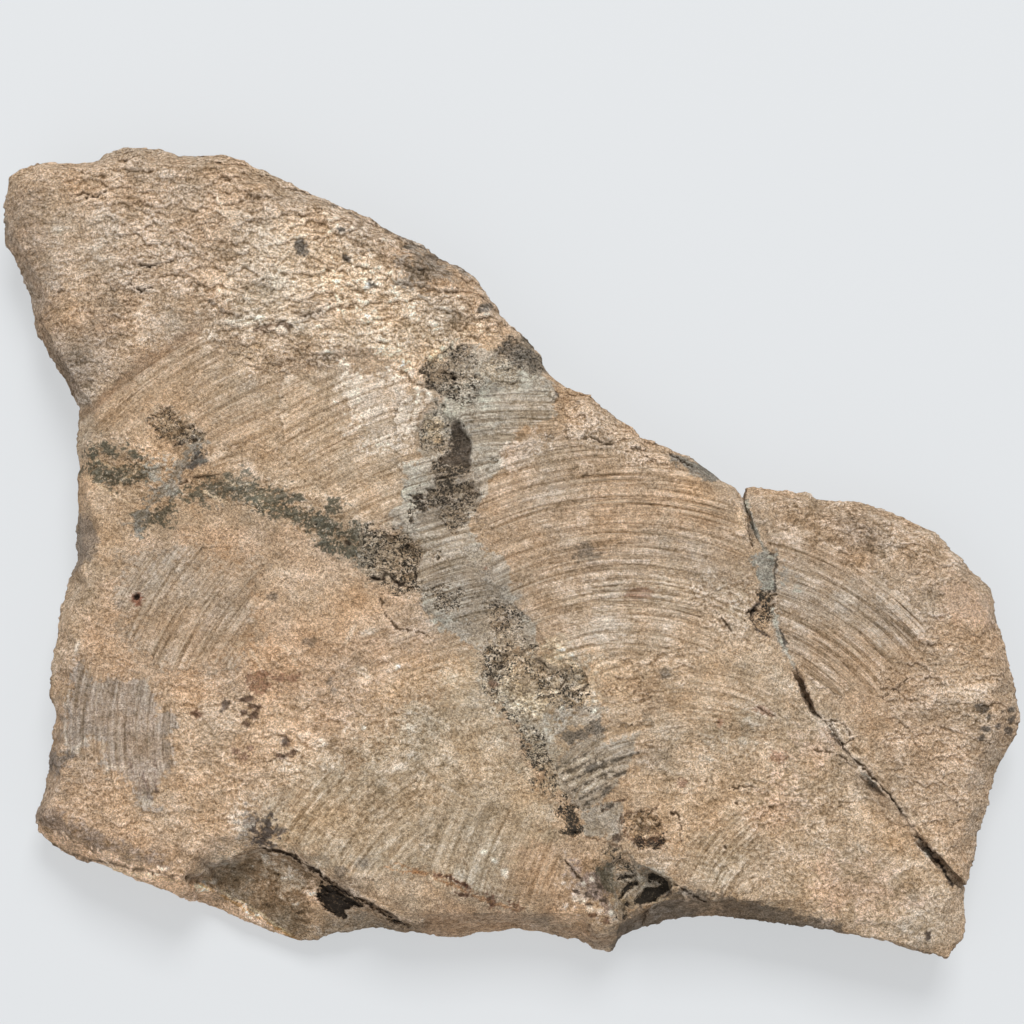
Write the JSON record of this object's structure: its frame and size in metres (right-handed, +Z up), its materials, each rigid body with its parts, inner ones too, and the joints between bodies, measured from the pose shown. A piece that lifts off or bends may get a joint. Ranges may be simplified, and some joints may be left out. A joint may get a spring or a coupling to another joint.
{
  "type": "mended limestone slab",
  "caption": "Rough limestone slab mended from broken rock pieces and grey filler, its back ground with a disc; lies on its flat hidden face.",
  "frame": {"origin": "centre of the bounding box on the plane the slab rests on", "axes": "+X along the slab's longest side, +Y from the straight lower edge towards the pointed upper edge, +Z up out of the ground face"},
  "size_m": [0.359, 0.287, 0.0379],
  "materials": {
    "limestone": "rough broken and ground rock",
    "grey_filler": "ground grey filler with rough pits",
    "dark_filler": "dark rough filler smeared with stone dust"
  },
  "bodies": {
    "root": {"upper_left_block": "limestone", "lower_left_block": "limestone", "middle_block": "limestone", "right_block": "limestone", "left_seam_filler": "dark_filler", "centre_seam_filler": "grey_filler", "right_seam_filler": "grey_filler"}
  },
  "joints": []
}
